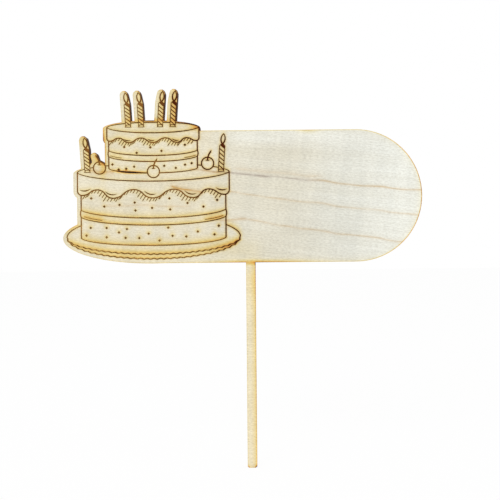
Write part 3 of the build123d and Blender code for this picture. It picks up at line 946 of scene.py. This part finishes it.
# %% Make the pieces
CORNER = math.radians(32)
WALL_GRID = 2.5 * MM
INNER_LAYERS = (  # piece, CAD layer, slot, finish
    ("core", "core_ply", "core", "core_cut"),
    ("front_film", "front_glue_line", "glue", "glue_cut"),
    ("back_film", "back_glue_line", "glue", "glue_cut"),
)


def mesh_from(shape, name):
    """Turn a finished shape into a mesh."""
    mesh = bpy.data.meshes.new(name)
    shape.to_mesh(mesh)
    shape.free()
    return mesh


def put_in_scene(name, data):
    """An object of the scene, at the origin."""
    made = bpy.data.objects.new(name, data)
    bpy.context.scene.collection.objects.link(made)
    return made


def make_piece(name, shape, node_name, finishes):
    """Turn a finished shape into a piece that replaces a CAD layer."""
    mesh = mesh_from(shape, name)
    for finish in finishes:
        mesh.materials.append(finish)
    mesh.shade_smooth()
    mesh.set_sharp_from_angle(angle=CORNER)
    piece = put_in_scene(name, mesh)
    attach(piece, "root")
    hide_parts(node_name)
    print("piece:", name, "with", len(mesh.polygons), "faces")


veneer_cut = cut_finishes["veneer_cut"]
make_piece("engraved_veneer", front, "front_veneer", (face_finish, line_finish, veneer_cut))

back = layer_copy("back_veneer")
grid_on(back, 1, GRID)
write_laser_marks(back)
make_piece("plain_veneer", back, "back_veneer", (back_finish, back_finish, veneer_cut))

for name, node_name, slot_name, finish_name in INNER_LAYERS:
    layer = layer_copy(node_name)
    grid_on(layer, -1, WALL_GRID)
    write_laser_marks(layer)
    finish = cut_finishes[finish_name]
    make_piece(name, layer, node_name, (finish, finish, finish))

# %% [markdown]
# ## A white floor
# The topper stands on its stick over a white floor. To the camera the floor is nearly plain white, so
# that hardly a seam shows against the white behind it. A little of its own surface stays to take a shadow.

# %% Floor
WHITE = (1, 1, 1, 1)
FLOOR_SIZE = 6.0
FLOOR_DROP = 0.1 * MM
FLOOR_GLOW = 0.93  # share of plain white in what the camera sees
FLOOR_ROUGH = 0.9


def seen_directly(tree):
    """1 for what the camera sees itself, in a mirror or through glass."""
    rays = add_node(tree, "ShaderNodeLightPath").outputs
    through = calc(tree, "MAXIMUM", rays["Is Glossy Ray"], rays["Is Transmission Ray"])
    return calc(tree, "MAXIMUM", rays["Is Camera Ray"], through)


def white_floor():
    """A floor that is white to the camera and still takes a shadow."""
    material, tree, surface = new_material("white_floor")
    surface.inputs["Base Color"].default_value = WHITE
    surface.inputs["Roughness"].default_value = FLOOR_ROUGH
    surface.inputs["Specular IOR Level"].default_value = 0.0
    glow = add_node(tree, "ShaderNodeEmission", {"Color": WHITE, "Strength": 1.0}).outputs[0]
    share = product(tree, seen_directly(tree), FLOOR_GLOW)
    both = add_node(tree, "ShaderNodeMixShader", {0: share, 1: surface.outputs[0], 2: glow}).outputs[0]
    feed(tree, tree.nodes["Material Output"].inputs["Surface"], both)
    return material


ground = bmesh.new()
bmesh.ops.create_grid(ground, x_segments=1, y_segments=1, size=FLOOR_SIZE / 2)
bmesh.ops.translate(ground, verts=ground.verts, vec=(0, 0, CAD_BOX[0].z - FLOOR_DROP))
floor_mesh = mesh_from(ground, "floor")
floor_mesh.materials.append(white_floor())
put_in_scene("floor", floor_mesh)
print("floor:", FLOOR_SIZE, "m wide")

# %% [markdown]
# ## Light
# The light is plain and soft. An even sky lets the colours come out as written, and to the camera it is
# plain white. One large lamp from the upper left gives the engraved lines a lit and a shaded wall.

# %% Sky and lamp
SKY = 0.8
LAMP_PLACE = Vector((-0.5, -0.9, 0.9))
LAMP_AIM = Vector((0, 0, 115 * MM))  # the middle of the head
LAMP_SIZE = 0.7
LAMP_POWER = 4.0


def soft_sky():
    """An even sky that is plain white to the camera."""
    world = bpy.data.worlds.new("soft_sky")
    world.use_nodes = True
    tree = world.node_tree
    even = tree.nodes["Background"]
    even.inputs["Color"].default_value = WHITE
    even.inputs["Strength"].default_value = SKY
    backdrop = add_node(tree, "ShaderNodeBackground", {"Color": WHITE, "Strength": 1.0}).outputs[0]
    inputs = {0: seen_directly(tree), 1: even.outputs[0], 2: backdrop}
    both = add_node(tree, "ShaderNodeMixShader", inputs).outputs[0]
    feed(tree, tree.nodes["World Output"].inputs["Surface"], both)
    return world


bpy.context.scene.world = soft_sky()
lamp_light = bpy.data.lights.new("softbox", "AREA")
lamp_light.size = LAMP_SIZE
lamp_light.energy = LAMP_POWER
lamp = put_in_scene("softbox", lamp_light)
lamp.location = LAMP_PLACE
lamp.rotation_euler = (LAMP_AIM - LAMP_PLACE).to_track_quat("-Z", "Y").to_euler()
print("sky strength:", SKY, "lamp watts:", LAMP_POWER)

# %% [markdown]
# ## Camera
# The camera looks straight at the face from close by. The candles stand left of the picture's middle,
# so the burnt walls on their right show a little.

# %% Camera
VIEW_WIDTH = 210.5 * MM  # what the square picture spans at the topper
VIEW_DISTANCE = 300 * MM
VIEW_MIDDLE = Vector((-0.3 * MM, 0, 91.2 * MM))
LEVEL = math.radians(90)
ROLL = math.radians(0.5)

camera_data = bpy.data.cameras.new("camera")
camera_data.lens = camera_data.sensor_width * VIEW_DISTANCE / VIEW_WIDTH
camera = put_in_scene("camera", camera_data)
camera.location = VIEW_MIDDLE - VIEW_DISTANCE * Vector((0, 1, 0))
camera.rotation_euler = (LEVEL, ROLL, 0)
bpy.context.scene.camera = camera
bpy.context.scene.view_settings.view_transform = "Standard"
print("lens, mm:", round(camera_data.lens, 1))
